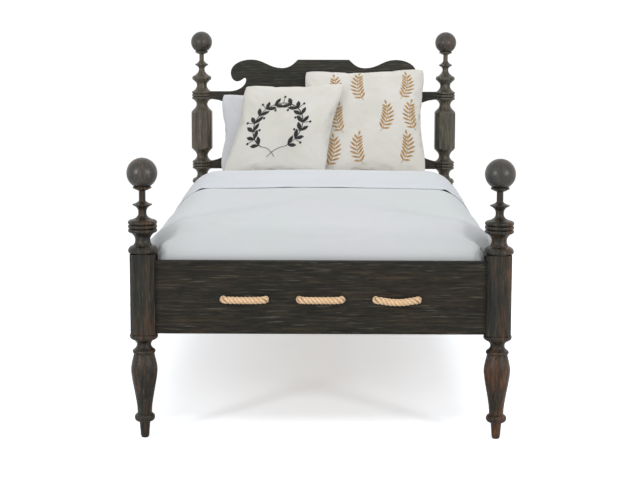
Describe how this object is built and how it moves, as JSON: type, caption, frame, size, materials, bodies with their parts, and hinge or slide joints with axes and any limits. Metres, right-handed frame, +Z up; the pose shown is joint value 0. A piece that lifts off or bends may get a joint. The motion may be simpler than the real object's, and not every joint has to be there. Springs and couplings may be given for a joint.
{
  "type": "cannonball rope bed",
  "caption": "Four-poster cannonball bed with turned posts, scrolled headboard and a woven rope base, made up with mattress, duvet, pillow and cushions.",
  "frame": {"origin": "middle of the bed's base, on the floor", "axes": "+Z up, +Y from the foot toward the headboard, +X to the right seen from the foot"},
  "size_m": [1.135, 2.05, 1.2044],
  "materials": {
    "dark_oak": "wire-brushed oak, dark stain",
    "dowel_wood": "plain beech",
    "plate_steel": "zinc-plated steel",
    "rope": "three-strand twisted fibre rope",
    "mattress_ticking": "woven ticking",
    "duvet_linen": "washed linen, pale blue-grey",
    "sheet_cotton": "plain cotton, cool white",
    "pillow_cotton": "plain cotton, white",
    "cushion_cream": "cream cotton with stitched motifs"
  },
  "bodies": {
    "bed_frame": {"foot_post_left": "dark_oak", "foot_post_right": "dark_oak", "head_post_left": "dark_oak", "head_post_right": "dark_oak", "foot_finial_left": "dark_oak", "foot_finial_right": "dark_oak", "head_finial_left": "dark_oak", "head_finial_right": "dark_oak", "finial_dowels": "dowel_wood", "foot_rail": "dark_oak", "head_rail": "dark_oak", "left_side_rail": "dark_oak", "right_side_rail": "dark_oak", "headboard_panel": "dark_oak", "headboard_crossbar": "dark_oak", "rail_hook_plates": "plate_steel", "post_socket_plates": "plate_steel", "hook_plate_screws": "plate_steel", "socket_plate_screws": "plate_steel", "lengthwise_rope": "rope", "crosswise_rope": "rope", "rope_stopper_knots": "rope"},
    "mattress": {"mattress": "mattress_ticking"},
    "duvet": {"duvet": "duvet_linen", "top_sheet": "sheet_cotton"},
    "sleeping_pillow": {"sleeping_pillow": "pillow_cotton"},
    "right_cushion": {"right_cushion": "cushion_cream"},
    "left_cushion": {"left_cushion": "cushion_cream"}
  },
  "joints": [
    {"name": "mattress_lift", "type": "slide", "parent": "bed_frame", "child": "mattress", "axis": [0, 0, 1], "range_m": [0, 0.3]},
    {"name": "duvet_lift", "type": "slide", "parent": "mattress", "child": "duvet", "axis": [0, 0, 1], "range_m": [0, 0.3]},
    {"name": "pillow_lift", "type": "slide", "parent": "mattress", "child": "sleeping_pillow", "axis": [0, 0, 1], "range_m": [0, 0.35]},
    {"name": "right_cushion_lift", "type": "slide", "parent": "sleeping_pillow", "child": "right_cushion", "axis": [0, 0, 1], "range_m": [0, 0.45]},
    {"name": "left_cushion_lift", "type": "slide", "parent": "right_cushion", "child": "left_cushion", "axis": [0, 0, 1], "range_m": [0, 0.45]}
  ]
}
